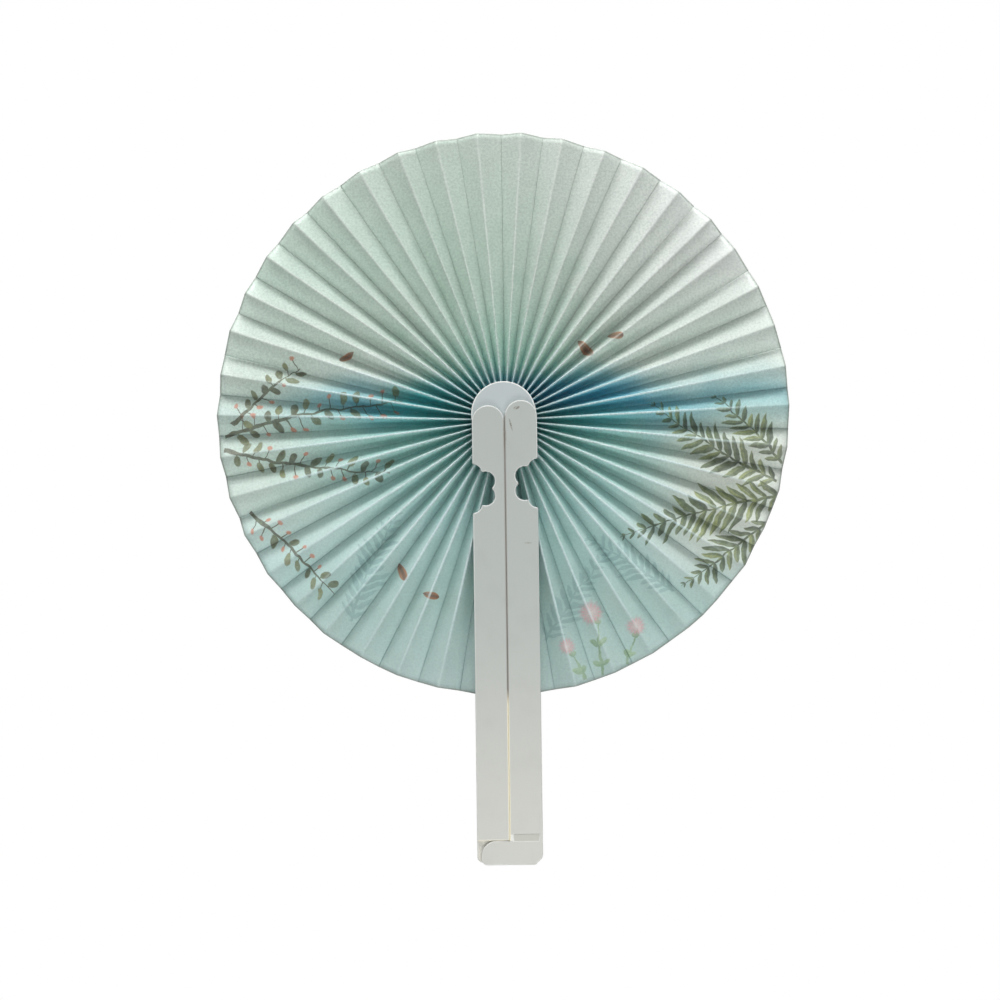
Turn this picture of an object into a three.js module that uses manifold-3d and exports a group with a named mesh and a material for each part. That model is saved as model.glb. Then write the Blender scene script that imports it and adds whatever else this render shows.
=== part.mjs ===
// Round folding hand fan: a pleated leaf opens to a full circle between two half handles that
// hinge on a hub, and folds away inside them when the halves swing up and meet over it.
// Millimetres, +Z up, the front faces -Y, and the origin is where a hand holds the handle.
import * as THREE from "three";
import { mergeVertices } from "three/addons/utils/BufferGeometryUtils.js";
import Module from "manifold-3d";

const wasm = await Module();
wasm.setup();

// Driving dimensions: fits
const clearance = 0.3; // between pieces that slide or touch
const tongueGap = 0.5; // above the tongue, where the left half is cut back for it

// Driving dimensions: half handles
const halfWidth = 13.5;
const plateWall = 1.5; // front and back plates
const spineWall = 1.6; // wall along the centre seam
const gripWall = 1.5; // outer wall that closes the grip
const endWall = 1.6;
const openLength = 140; // from a pivot down to the closed grip
const leftLength = 184.2; // from a pivot to the foot
const rightLength = 187.2;
const footRound = 2.5; // left foot's outer corner
const footChamfer = 3; // right foot's outer corner
const gripHeight = 148; // from the hand up to the line between the pivots

// Driving dimensions: snap tongue on the right half
const tongueHeight = 10.1;
const tongueReach = 11.8; // past the seam, over the left half
const tongueThickness = 1.3;
const tongueTopCorner = 6.3;
const tongueFootCorner = 2.8;
const slotHeight = 2.7; // sunk strip above the tongue
const slotDepth = 0.8;

// Driving dimensions: six-lobed window, half of it in each handle
const windowDrop = 28; // from a pivot down to the window's middle
const lobeRadius = 3.95;
const lobeReach = 6.26; // from the window's middle to a lobe's middle

// Driving dimensions: hub
const hubTurn = THREE.MathUtils.degToRad(8.3); // the hub's lean while the fan is open
const discRadius = 13.6;
const discThickness = 1;
const discChamfer = 0.3;
const discRise = 2.3; // disc centre above the line between the pivots
const pinRadius = 1.4;
const shoulderRadius = 1.9; // middle of a post, which keeps the discs apart
const pinSeat = 0.7; // how far a pin reaches into a plate
const pinChamfer = 0.25;

// Driving dimensions: leaf
const pleatCount = 42;
const leafRadius = 119.5;
const rimDepth = 5.3; // front ridge to back ridge at the rim
const paper = 0.25;
const gatherDrop = 0.9; // middle of the folds, below the line between the pivots
const threadRadius = 0.25;

// Sizes that follow from the ones above
const halfRadius = halfWidth / 2;
const pivotSpacing = (halfWidth + clearance) / Math.cos(hubTurn);
const pivotX = (pivotSpacing / 2) * Math.cos(hubTurn);
const pivotZ = (pivotSpacing / 2) * Math.sin(hubTurn);
const endOffset = clearance / 2 + spineWall + clearance; // first and last fold, from the centre seam
const rimPitch = 2 * leafRadius * Math.sin(Math.PI / (2 * pleatCount));
const panelWidth = Math.hypot(rimPitch, rimDepth);
const discInner = panelWidth / 2 + clearance; // faces that the leaf lies between
const plateInner = discInner + discThickness + clearance;
const plateOuter = plateInner + plateWall;
const threadRing = pivotSpacing / 2 + gatherDrop + shoulderRadius + clearance + threadRadius;
const gatherRadius = threadRing + threadRadius + clearance; // inner ends of the pleats
const spineTop = Math.max(discRadius - discRise, gatherDrop + gatherRadius) + clearance + pivotZ;
const past = 2 * (halfWidth + plateOuter); // how far a cut runs beyond what it cuts

const arcSteps = 16;
const discSteps = 48;
const pinSteps = 20;
const threadSteps = 72;
const threadSides = 6;
const pleatStations = [0, 0.1, 0.25, 0.45, 0.65, 0.82, 1];

const plastic = new THREE.MeshStandardMaterial({ color: 0xcfd1cc, roughness: 0.45, metalness: 0 });
const hubPlastic = new THREE.MeshStandardMaterial({ color: 0xc9ccc8, roughness: 0.45, metalness: 0 });
const leafPaper = new THREE.MeshStandardMaterial({ color: 0xb9cfce, roughness: 0.7, metalness: 0 });
const cotton = new THREE.MeshStandardMaterial({ color: 0xe6e2d6, roughness: 0.9, metalness: 0 });

// A closed geometry as a solid that can be joined and cut, and back again
function solidOf(geometry) {
  const bare = new THREE.BufferGeometry().setAttribute("position", geometry.getAttribute("position"));
  bare.setIndex(geometry.index);
  const merged = mergeVertices(bare, 1e-4);
  return new wasm.Manifold(
    new wasm.Mesh({
      numProp: 3,
      vertProperties: new Float32Array(merged.getAttribute("position").array),
      triVerts: new Uint32Array(merged.index.array),
    }),
  );
}

function geometryOf(solid) {
  const mesh = solid.getMesh();
  const geometry = new THREE.BufferGeometry();
  geometry.setAttribute("position", new THREE.BufferAttribute(mesh.vertProperties, mesh.numProp));
  geometry.setIndex(new THREE.BufferAttribute(mesh.triVerts, 1));
  geometry.computeVertexNormals();
  return geometry;
}

function meshOf(name, geometry, material) {
  const mesh = new THREE.Mesh(geometry, material);
  mesh.name = name;
  return mesh;
}

// An outline drawn in X and Z, made solid between two depths
function slab(outline, front, back) {
  const geometry = new THREE.ExtrudeGeometry(outline, {
    depth: back - front,
    bevelEnabled: false,
    curveSegments: arcSteps,
  });
  geometry.rotateX(Math.PI / 2);
  geometry.translate(0, back, 0);
  return solidOf(geometry);
}

function block(x0, x1, y0, y1, z0, z1) {
  const geometry = new THREE.BoxGeometry(Math.abs(x1 - x0), y1 - y0, z1 - z0);
  geometry.translate((x0 + x1) / 2, (y0 + y1) / 2, (z0 + z1) / 2);
  return solidOf(geometry);
}

// A round piece along Y, from radius and depth pairs, the first and last on its axis
function turned(profile, x, z) {
  const points = profile.map(([radius, depth]) => new THREE.Vector2(radius, depth));
  const geometry = new THREE.LatheGeometry(points, pinSteps);
  geometry.translate(x, 0, z);
  return solidOf(geometry);
}

// Half handles, each drawn about its own pivot, with side +1 where the seam is on +X
function roundTop(outline, side) {
  outline.moveTo(side * halfRadius, 0);
  outline.absarc(0, 0, halfRadius, side > 0 ? 0 : Math.PI, side > 0 ? Math.PI : 0, side < 0);
}

function leftOutline() {
  const outline = new THREE.Shape();
  roundTop(outline, 1);
  outline.absarc(-halfRadius + footRound, -leftLength + footRound, footRound, Math.PI, 1.5 * Math.PI);
  outline.lineTo(halfRadius, -leftLength);
  return outline;
}

function rightOutline() {
  const outline = new THREE.Shape();
  roundTop(outline, -1);
  outline.lineTo(halfRadius, -rightLength + footChamfer);
  outline.lineTo(halfRadius - footChamfer, -rightLength);
  outline.lineTo(-halfRadius, -rightLength);
  return outline;
}

function windowOutline(x, z) {
  const sixth = Math.PI / 3;
  const cusp = lobeReach * Math.cos(sixth / 2) + Math.sqrt(lobeRadius ** 2 - (lobeReach / 2) ** 2);
  const span = Math.atan2(cusp * Math.sin(sixth / 2), cusp * Math.cos(sixth / 2) - lobeReach);
  const outline = new THREE.Shape();
  for (let lobe = 0; lobe < 6; lobe++) {
    const turn = (lobe + 0.5) * sixth;
    const lobeX = x + lobeReach * Math.cos(turn);
    const lobeZ = z + lobeReach * Math.sin(turn);
    outline.absarc(lobeX, lobeZ, lobeRadius, turn - span, turn + span);
  }
  return outline;
}

// The tongue's outline about the right pivot, round at its free end
function tongueOutline() {
  const top = -rightLength + tongueHeight;
  const tip = -halfRadius - clearance - tongueReach;
  const outline = new THREE.Shape();
  outline.moveTo(0, -rightLength);
  outline.lineTo(0, top);
  outline.absarc(tip + tongueTopCorner, top - tongueTopCorner, tongueTopCorner, Math.PI / 2, Math.PI);
  outline.absarc(
    tip + tongueFootCorner,
    -rightLength + tongueFootCorner,
    tongueFootCorner,
    Math.PI,
    1.5 * Math.PI,
  );
  return outline;
}

// A channel open on its outer side down to the grip, with no spine beside the hub
function channel(outline, side, floor) {
  const seam = side * (halfRadius - spineWall);
  const gripSide = side * (gripWall - halfRadius);
  return slab(outline, -plateOuter, plateOuter)
    .subtract(block(seam, -side * past, -plateInner, plateInner, -openLength, past))
    .subtract(block(seam, gripSide, -plateInner, plateInner, floor, past))
    .subtract(block(-past, past, -plateInner, plateInner, -spineTop, past))
    .subtract(slab(windowOutline(-side * halfRadius, -windowDrop), -past, past))
    .subtract(pinSockets());
}

// Blind sockets in both plates for the ends of a pivot post
function pinSockets() {
  const reach = plateInner + pinSeat + clearance;
  const radius = pinRadius + clearance;
  return turned([[0, -reach], [radius, -reach], [radius, reach], [0, reach]], 0, 0);
}

function leftHandleHalf() {
  const recessTop = -rightLength + tongueHeight + tongueGap + 2 * pivotZ;
  const recessFloor = -plateOuter + tongueThickness + clearance;
  const recess = block(-past, past, -plateOuter - past, recessFloor, -leftLength - past, recessTop);
  return channel(leftOutline(), 1, recessTop + endWall).subtract(recess);
}

function rightHandleHalf() {
  const tongueTop = -rightLength + tongueHeight;
  const tongue = slab(tongueOutline(), -plateOuter, -plateOuter + tongueThickness);
  const slot = block(
    -halfRadius + spineWall,
    halfRadius - gripWall,
    -plateOuter - past,
    -plateOuter + slotDepth,
    tongueTop,
    tongueTop + slotHeight,
  );
  return channel(rightOutline(), -1, -rightLength + endWall).add(tongue).subtract(slot);
}

// Hub discs, drawn about the middle of the line between the pivots; face is -1 at the front
function hubDisc(face) {
  const outline = new THREE.Shape();
  outline.absarc(0, discRise, discRadius - discChamfer, 0, 2 * Math.PI);
  const geometry = new THREE.ExtrudeGeometry(outline, {
    depth: discThickness - discChamfer,
    bevelSize: discChamfer,
    bevelThickness: discChamfer / 2,
    bevelSegments: 1,
    curveSegments: discSteps,
  });
  geometry.rotateX(Math.PI / 2);
  geometry.translate(0, discThickness - discChamfer / 2, 0);
  geometry.translate(0, face < 0 ? -discInner - discThickness : discInner, 0);
  const bore = pinRadius + clearance;
  const hole = [[0, -past], [bore, -past], [bore, past], [0, past]];
  const half = pivotSpacing / 2;
  return solidOf(geometry).subtract(turned(hole, -half, 0)).subtract(turned(hole, half, 0));
}

// A post with a shoulder between the discs and a pin at each end
function pivotPost(x) {
  const shoulder = discInner - clearance;
  const tip = plateInner + pinSeat;
  return turned(
    [
      [0, -tip],
      [pinRadius - pinChamfer, -tip],
      [pinRadius, -tip + pinChamfer],
      [pinRadius, -shoulder],
      [shoulderRadius, -shoulder],
      [shoulderRadius, shoulder],
      [pinRadius, shoulder],
      [pinRadius, tip - pinChamfer],
      [pinRadius - pinChamfer, tip],
      [0, tip],
    ],
    x,
    0,
  );
}

// A loop that gathers the pleats' inner ends
function threadLoop() {
  const geometry = new THREE.TorusGeometry(threadRing, threadRadius, threadSides, threadSteps);
  geometry.rotateX(Math.PI / 2);
  geometry.translate(0, 0, -gatherDrop);
  return solidOf(geometry);
}

// Leaf: fold number 0 lies along the left spine, the last one along the right spine
const foldCount = 2 * pleatCount;

function foldPoint(fold, station) {
  const share = (2 * fold) / foldCount - 1;
  const rimTurn = share * (Math.PI - Math.asin(endOffset / leafRadius));
  const innerTurn = share * (Math.PI - Math.asin(endOffset / gatherRadius));
  const rim = new THREE.Vector2(Math.sin(rimTurn), Math.cos(rimTurn)).multiplyScalar(leafRadius);
  const inner = new THREE.Vector2(Math.sin(innerTurn), Math.cos(innerTurn)).multiplyScalar(gatherRadius);
  rim.y += discRise;
  inner.y -= gatherDrop;
  return inner.lerp(rim, station);
}

// Section of a pleat: two panels of constant width that meet in a front ridge
function pleatSection(pleat, station) {
  const left = foldPoint(2 * pleat, station);
  const ridge = foldPoint(2 * pleat + 1, station);
  const right = foldPoint(2 * pleat + 2, station);
  const across = right.clone().sub(left);
  const pitch = across.length() / 2;
  across.normalize();
  const depth = Math.sqrt(panelWidth ** 2 - pitch ** 2);
  const thick = (paper * panelWidth) / depth; // measured across the pleat
  const gap = clearance / 2; // from the valley fold, half of the gap to the next pleat
  const inside = Math.min((thick * depth) / (pitch - gap), depth - paper); // back of the ridge
  const at = (from, offset, y) => [from.x + across.x * offset, y, from.y + across.y * offset];
  return [
    at(left, gap, depth / 2),
    at(ridge, 0, -depth / 2),
    at(right, -gap, depth / 2),
    at(right, -gap - thick, depth / 2),
    at(ridge, 0, -depth / 2 + inside),
    at(left, gap + thick, depth / 2),
  ];
}

// The panels twist, so both faces of the paper are split the same way, outwards from the ridge
function pleatGeometry(pleat) {
  const sections = pleatStations.map((station) => pleatSection(pleat, station));
  const corners = sections[0].length;
  const ridgeCorners = [1, 4];
  const cap = [[0, 1, 5], [1, 4, 5], [1, 3, 4], [1, 2, 3]];
  const last = (sections.length - 1) * corners;
  const faces = [];
  for (let ring = 0; ring < last; ring += corners) {
    for (let corner = 0; corner < corners; corner++) {
      const here = ring + corner;
      const beside = ring + ((corner + 1) % corners);
      if (ridgeCorners.includes(corner)) {
        faces.push(here, beside, beside + corners);
        faces.push(here, beside + corners, here + corners);
      } else {
        faces.push(here, beside, here + corners);
        faces.push(beside, beside + corners, here + corners);
      }
    }
  }
  for (const [a, b, c] of cap) {
    faces.push(a, c, b, last + a, last + b, last + c);
  }
  const geometry = new THREE.BufferGeometry();
  geometry.setAttribute("position", new THREE.Float32BufferAttribute(sections.flat(2), 3));
  geometry.setIndex(faces);
  geometry.computeVertexNormals();
  return geometry;
}

// Assembly
const fan = new THREE.Group();

const leftHandle = new THREE.Group();
leftHandle.position.set(-pivotX, 0, gripHeight - pivotZ);
leftHandle.add(meshOf("left_handle_half", geometryOf(leftHandleHalf()), plastic));

const rightHandle = new THREE.Group();
rightHandle.position.set(pivotX, 0, gripHeight + pivotZ);
rightHandle.add(meshOf("right_handle_half", geometryOf(rightHandleHalf()), plastic));

const hub = new THREE.Group();
hub.position.set(0, 0, gripHeight);
hub.rotation.y = -hubTurn;
hub.add(meshOf("front_hub_disc", geometryOf(hubDisc(-1)), hubPlastic));
hub.add(meshOf("back_hub_disc", geometryOf(hubDisc(1)), hubPlastic));
hub.add(meshOf("left_pivot_post", geometryOf(pivotPost(-pivotSpacing / 2)), hubPlastic));
hub.add(meshOf("right_pivot_post", geometryOf(pivotPost(pivotSpacing / 2)), hubPlastic));

const leaf = new THREE.Group();
leaf.position.set(0, 0, gripHeight);
leaf.add(meshOf("gathering_thread", geometryOf(threadLoop()), cotton));
for (let pleat = 0; pleat < pleatCount; pleat++) {
  const name = `leaf_pleat_${String(pleat + 1).padStart(2, "0")}`;
  leaf.add(meshOf(name, pleatGeometry(pleat), leafPaper));
}

fan.add(leftHandle, rightHandle, hub, leaf);
export default fan;
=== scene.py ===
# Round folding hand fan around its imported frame: pleated paper leaf, hub discs and two half handles.
# Metres, +Z up, the front faces -Y.
import math
from functools import partial

import bmesh
import bpy
from mathutils import Matrix, Vector


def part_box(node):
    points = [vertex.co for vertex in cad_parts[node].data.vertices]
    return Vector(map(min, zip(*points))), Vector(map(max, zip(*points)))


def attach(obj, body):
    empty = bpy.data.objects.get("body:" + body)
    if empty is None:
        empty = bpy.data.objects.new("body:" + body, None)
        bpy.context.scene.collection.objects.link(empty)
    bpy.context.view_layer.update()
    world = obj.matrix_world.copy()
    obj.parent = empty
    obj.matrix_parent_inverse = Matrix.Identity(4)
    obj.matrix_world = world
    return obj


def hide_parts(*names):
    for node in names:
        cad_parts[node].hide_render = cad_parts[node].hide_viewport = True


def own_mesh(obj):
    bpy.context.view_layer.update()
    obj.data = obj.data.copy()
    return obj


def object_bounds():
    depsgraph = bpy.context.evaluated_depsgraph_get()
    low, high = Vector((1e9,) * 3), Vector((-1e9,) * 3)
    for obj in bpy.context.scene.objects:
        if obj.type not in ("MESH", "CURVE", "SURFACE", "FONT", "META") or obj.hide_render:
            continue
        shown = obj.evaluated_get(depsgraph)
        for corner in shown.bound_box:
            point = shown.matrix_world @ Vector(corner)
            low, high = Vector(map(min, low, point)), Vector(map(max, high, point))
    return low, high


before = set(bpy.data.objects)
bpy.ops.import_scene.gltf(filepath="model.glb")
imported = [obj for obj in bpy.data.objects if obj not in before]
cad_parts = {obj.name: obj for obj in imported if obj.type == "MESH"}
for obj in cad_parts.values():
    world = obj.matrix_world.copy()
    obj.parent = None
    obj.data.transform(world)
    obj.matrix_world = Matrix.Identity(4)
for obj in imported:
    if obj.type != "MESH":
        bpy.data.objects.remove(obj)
cadLow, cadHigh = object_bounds()
mm = 0.001
toMm = 1000.0
white = (1.0, 1.0, 1.0, 1.0)
pleatNodes = sorted(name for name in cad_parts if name.startswith("leaf_pleat_"))
print("frame:", len(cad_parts), "nodes,", len(pleatNodes), "pleats")


# Node helpers
def addNode(tree, kind, **settings):
    node = tree.nodes.new(kind)
    for name, value in settings.items():
        setattr(node, name, value)
    return node


def feed(tree, socket, value):
    if isinstance(value, bpy.types.NodeSocket):
        tree.links.new(value, socket)
    else:
        socket.default_value = value


def calc(tree, operation, *values):
    node = addNode(tree, "ShaderNodeMath", operation=operation)
    for socket, value in zip(node.inputs, values):
        feed(tree, socket, value)
    return node.outputs[0]


def between(tree, start, end, share):
    return calc(tree, "MULTIPLY_ADD", calc(tree, "SUBTRACT", end, start), share, start)


def ease(tree, value, low, high):  # 0 below low, 1 above high, smooth on the way
    node = addNode(tree, "ShaderNodeMapRange", interpolation_type="SMOOTHSTEP")
    for socket, given in zip(node.inputs, (value, low, high, 0.0, 1.0)):
        feed(tree, socket, given)
    return node.outputs[0]


def within(tree, value, low, high):  # 1 between the two, else 0
    above = calc(tree, "GREATER_THAN", value, low)
    return calc(tree, "MULTIPLY", above, calc(tree, "LESS_THAN", value, high))


def fadeOut(tree, value, low, high):  # 1 below low, 0 above high
    return calc(tree, "SUBTRACT", 1.0, ease(tree, value, low, high))


def allOf(tree, mask, *others):  # where every mask holds
    for other in others:
        mask = calc(tree, "MULTIPLY", mask, other)
    return mask


def fromLevel(tree, value, level):
    return calc(tree, "ABSOLUTE", calc(tree, "SUBTRACT", value, level))


def lengthOf(tree, across, up):
    squares = calc(tree, "ADD", calc(tree, "MULTIPLY", across, across), calc(tree, "MULTIPLY", up, up))
    return calc(tree, "SQRT", squares)


def combine(tree, x, y, z):
    node = addNode(tree, "ShaderNodeCombineXYZ")
    for socket, value in zip(node.inputs, (x, y, z)):
        feed(tree, socket, value)
    return node.outputs[0]


def separate(tree, vector):
    node = addNode(tree, "ShaderNodeSeparateXYZ")
    feed(tree, node.inputs[0], vector)
    return node.outputs


def scaled(tree, vector, factors):
    node = addNode(tree, "ShaderNodeVectorMath", operation="MULTIPLY")
    feed(tree, node.inputs[0], vector)
    feed(tree, node.inputs[1], factors)
    return node.outputs[0]


def noise(tree, vector, scale, detail=2.0, roughness=0.5):
    node = addNode(tree, "ShaderNodeTexNoise")
    feed(tree, node.inputs["Vector"], vector)
    feed(tree, node.inputs["Scale"], scale)
    feed(tree, node.inputs["Detail"], detail)
    feed(tree, node.inputs["Roughness"], roughness)
    return node.outputs[0]


def mixColour(tree, share, first, second, blend="MIX"):
    node = addNode(tree, "ShaderNodeMix", data_type="RGBA", blend_type=blend)
    feed(tree, node.inputs[0], share)
    feed(tree, node.inputs[6], first)
    feed(tree, node.inputs[7], second)
    return node.outputs[2]


def ramp(tree, share, stops):
    node = addNode(tree, "ShaderNodeValToRGB")
    feed(tree, node.inputs[0], share)
    elements = node.color_ramp.elements
    while len(elements) < len(stops):
        elements.new(0.5)
    for element, (place, colour) in zip(elements, stops):
        element.position = place
        element.color = colour
    return node.outputs[0]


def newGroup(name, kind, inputs, outputs):
    group = bpy.data.node_groups.new(name, kind)
    for label, socketKind, value in inputs:
        socket = group.interface.new_socket(label, in_out="INPUT", socket_type=socketKind)
        if value is not None:
            socket.default_value = value
    for label, socketKind in outputs:
        group.interface.new_socket(label, in_out="OUTPUT", socket_type=socketKind)
    given = addNode(group, "NodeGroupInput").outputs
    made = addNode(group, "NodeGroupOutput").inputs
    return group, given, made


def numbers(labels):
    return [(label, "NodeSocketFloat", 0.0) for label in labels]


def keyFor(label):  # Rim Wide becomes rimWide
    joined = label.replace(" ", "")
    return joined[0].lower() + joined[1:]


def useGroup(tree, group, **values):  # a value goes to the input that its key names
    kind = "GeometryNodeGroup" if group.bl_idname == "GeometryNodeTree" else "ShaderNodeGroup"
    node = addNode(tree, kind, node_tree=group)
    for socket in node.inputs:
        if keyFor(socket.name) in values:
            feed(tree, socket, values[keyFor(socket.name)])
    return node.outputs


def closeTree(tree, geometry, material, out):  # smooth, real and in its material
    smooth = addNode(tree, "GeometryNodeSetShadeSmooth")
    feed(tree, smooth.inputs[0], geometry)
    real = addNode(tree, "GeometryNodeRealizeInstances")
    feed(tree, real.inputs[0], smooth.outputs[0])
    finish = addNode(tree, "GeometryNodeSetMaterial")
    feed(tree, finish.inputs["Geometry"], real.outputs[0])
    feed(tree, finish.inputs["Material"], material)
    feed(tree, out, finish.outputs[0])


def srgb(red, green, blue):  # 0 to 255, to a linear colour
    def line(value):
        share = value / 255
        return share / 12.92 if share <= 0.04045 else ((share + 0.055) / 1.055) ** 2.4

    return (line(red), line(green), line(blue), 1.0)


def newMaterial(name, specular):
    material = bpy.data.materials.new(name)
    material.use_nodes = True
    tree = material.node_tree
    surface = tree.nodes["Principled BSDF"].inputs
    surface["Specular IOR Level"].default_value = specular
    return material, tree, surface


def bumpFrom(tree, height, distance, strength):
    node = addNode(tree, "ShaderNodeBump")
    node.inputs["Strength"].default_value = strength
    node.inputs["Distance"].default_value = distance
    feed(tree, node.inputs["Height"], height)
    return node.outputs[0]


# Mesh helpers
def addPiece(name, mesh):
    piece = bpy.data.objects.new(name, mesh)
    bpy.context.scene.collection.objects.link(piece)
    return piece


def freeze(piece):  # modifiers become the piece's own mesh
    bpy.context.view_layer.update()
    graph = bpy.context.evaluated_depsgraph_get()
    mesh = bpy.data.meshes.new_from_object(piece.evaluated_get(graph), depsgraph=graph)
    piece.modifiers.clear()
    piece.data = mesh
    mesh.name = piece.name


def setInput(modifier, label, value):  # by the socket's identifier
    for item in modifier.node_group.interface.items_tree:
        if item.name == label and item.in_out == "INPUT":
            modifier[item.identifier] = value


# Camera: in front of the fan, a little from its right and from below, turned as the photograph is
view = {
    "distance": 1.6,
    "frameWidth": 0.42,  # what the square image takes in, at the leaf
    "aim": (-0.0024, 0.0, 0.1143),
    "azimuth": 1.0,
    "elevation": -1.5,
    "roll": -0.75,
}


def placeCamera():
    data = bpy.data.cameras.new("camera")
    data.sensor_width = 36
    data.angle = 2 * math.atan(view["frameWidth"] / 2 / view["distance"])
    data.clip_start = 0.01
    camera = bpy.data.objects.new("camera", data)
    azimuth = math.radians(view["azimuth"])
    elevation = math.radians(view["elevation"])
    back = Vector((
        math.sin(azimuth) * math.cos(elevation),
        -math.cos(azimuth) * math.cos(elevation),
        math.sin(elevation),
    ))
    camera.location = Vector(view["aim"]) + back * view["distance"]
    turn = (-back).to_track_quat("-Z", "Y").to_matrix()
    roll = Matrix.Rotation(math.radians(view["roll"]), 3, "Z")
    camera.rotation_euler = (turn @ roll).to_euler()
    bpy.context.scene.collection.objects.link(camera)
    bpy.context.scene.camera = camera
    print("camera:", view["distance"], "m away")


placeCamera()


# Stage: white floor and surround that neither light nor shade the fan, wide soft light from above,
# a little fill at the foot and some light from behind
studio = {
    "floorDrop": 0.002,  # below the fan's foot
    "reach": 6.0,
    "steps": 64,
    "keyPlace": (-0.05, -0.55, 1.37),
    "keySize": (1.3, 0.42),
    "keyPower": 18.6,
    "fillPlace": (0.06, -0.28, -0.25),
    "fillSize": (0.3, 0.2),
    "fillPower": 0.8,
    "backPlace": (-0.05, 0.3, 1.45),
    "backSize": (0.7, 0.5),
    "backPower": 9.0,
    "rearPlace": (0.05, 1.15, 0.3),
    "rearSize": (0.9, 0.9),
    "rearPower": 2.2,
    "ambient": 0.34,
}


def whiteStage(name, shape):
    mesh = bpy.data.meshes.new(name)
    shape.to_mesh(mesh)
    shape.free()
    plane = addPiece(name, mesh)
    material = bpy.data.materials.new(name)
    material.use_nodes = True
    tree = material.node_tree
    tree.nodes.clear()
    glow = addNode(tree, "ShaderNodeEmission")
    out = addNode(tree, "ShaderNodeOutputMaterial")
    tree.links.new(glow.outputs[0], out.inputs["Surface"])
    mesh.materials.append(material)
    plane.visible_diffuse = False
    plane.visible_glossy = False
    plane.visible_transmission = False
    plane.visible_shadow = False


def softLight(name, place, size, power):
    data = bpy.data.lights.new(name, "AREA")
    data.shape = "RECTANGLE"
    data.size, data.size_y = size
    data.energy = power
    light = bpy.data.objects.new(name, data)
    light.location = place
    toFan = (cadLow + cadHigh) / 2 - Vector(place)
    light.rotation_euler = toFan.to_track_quat("-Z", "Y").to_euler()
    bpy.context.scene.collection.objects.link(light)


def buildStudio():
    floor = cadLow.z - studio["floorDrop"]
    ground = bmesh.new()
    bmesh.ops.create_circle(ground, cap_ends=True, segments=studio["steps"], radius=studio["reach"])
    bmesh.ops.translate(ground, verts=ground.verts, vec=(0, 0, floor))
    whiteStage("floor", ground)
    surround = bmesh.new()
    around = studio["steps"]
    bmesh.ops.create_uvsphere(surround, u_segments=around, v_segments=around // 2, radius=studio["reach"])
    whiteStage("surround", surround)
    for name in ("key", "fill", "back", "rear"):
        softLight(name, studio[f"{name}Place"], studio[f"{name}Size"], studio[f"{name}Power"])
    world = bpy.data.worlds.new("studio")
    world.use_nodes = True
    world.node_tree.nodes["Background"].inputs["Color"].default_value = white
    world.node_tree.nodes["Background"].inputs["Strength"].default_value = studio["ambient"]
    bpy.context.scene.world = world
    bpy.context.scene.view_settings.view_transform = "Standard"
    print("studio: floor at", round(floor, 4))


buildStudio()


# Leaf: a strip of constant panel width, gathered round the hub and spread to a full circle
threadLow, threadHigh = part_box("gathering_thread")
leafHalf = max(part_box(node)[1].x for node in pleatNodes)
leafTop = max(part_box(node)[1].z for node in pleatNodes)
leaf = {
    "pleatCount": len(pleatNodes),
    "rimWide": leafHalf + 0.6 * mm,  # the real circle is a little wider than tall
    "rimTall": leafHalf - 1.4 * mm,
    "rimX": -0.6 * mm,
    "rimZ": leafTop - leafHalf + 0.3 * mm,
    "gatherRadius": (threadHigh.x - threadLow.x) / 2 + 0.3 * mm,
    "gatherZ": (threadLow.z + threadHigh.z) / 2,
    "seamOffset": 2.05 * mm,  # first and last fold, from the centre seam
    "panelWidth": 10.39 * mm,
    "rimEase": 0.07,  # share by which a panel spreads at the rim
    "paper": 0.18 * mm,
    "creaseSharpness": 0.9965,  # 1 is a knife edge
    "stray": 0.45,  # degrees, how far a fold leaves its even place
    "ragged": 0.28 * mm,  # unevenness of the cut rim
    "valleyDraw": 0.1 * mm,  # valley folds are drawn in at the rim
    "evenEnds": (0.01, 0.12),  # share of the half turn where folds by the seam stay even
    "leastDepth": 0.1 * mm,
    "flutter": 0.3 * mm,
    "flutterScale": 45.0,  # waves in a metre
    "flutterFrom": (0.12, 0.45),  # share of a pleat's length where it sets in
    "creaseCrowd": 0.72,  # how much closer the grid is at the creases
    "hubCrowd": 1.2,  # and towards the hub
    "acrossSteps": 14,
    "alongSteps": 56,
    "seed": 5,
    "foldedPitch": 0.536 * mm,  # of a folded pleat in the closed fan
}
foldSizes = ["Rim Wide", "Rim Tall", "Rim X", "Rim Z", "Gather Radius", "Gather Z", "Seam Offset"]
foldSizes += ["Pleat Count", "Stray", "Ragged", "Valley Draw"]


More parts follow.
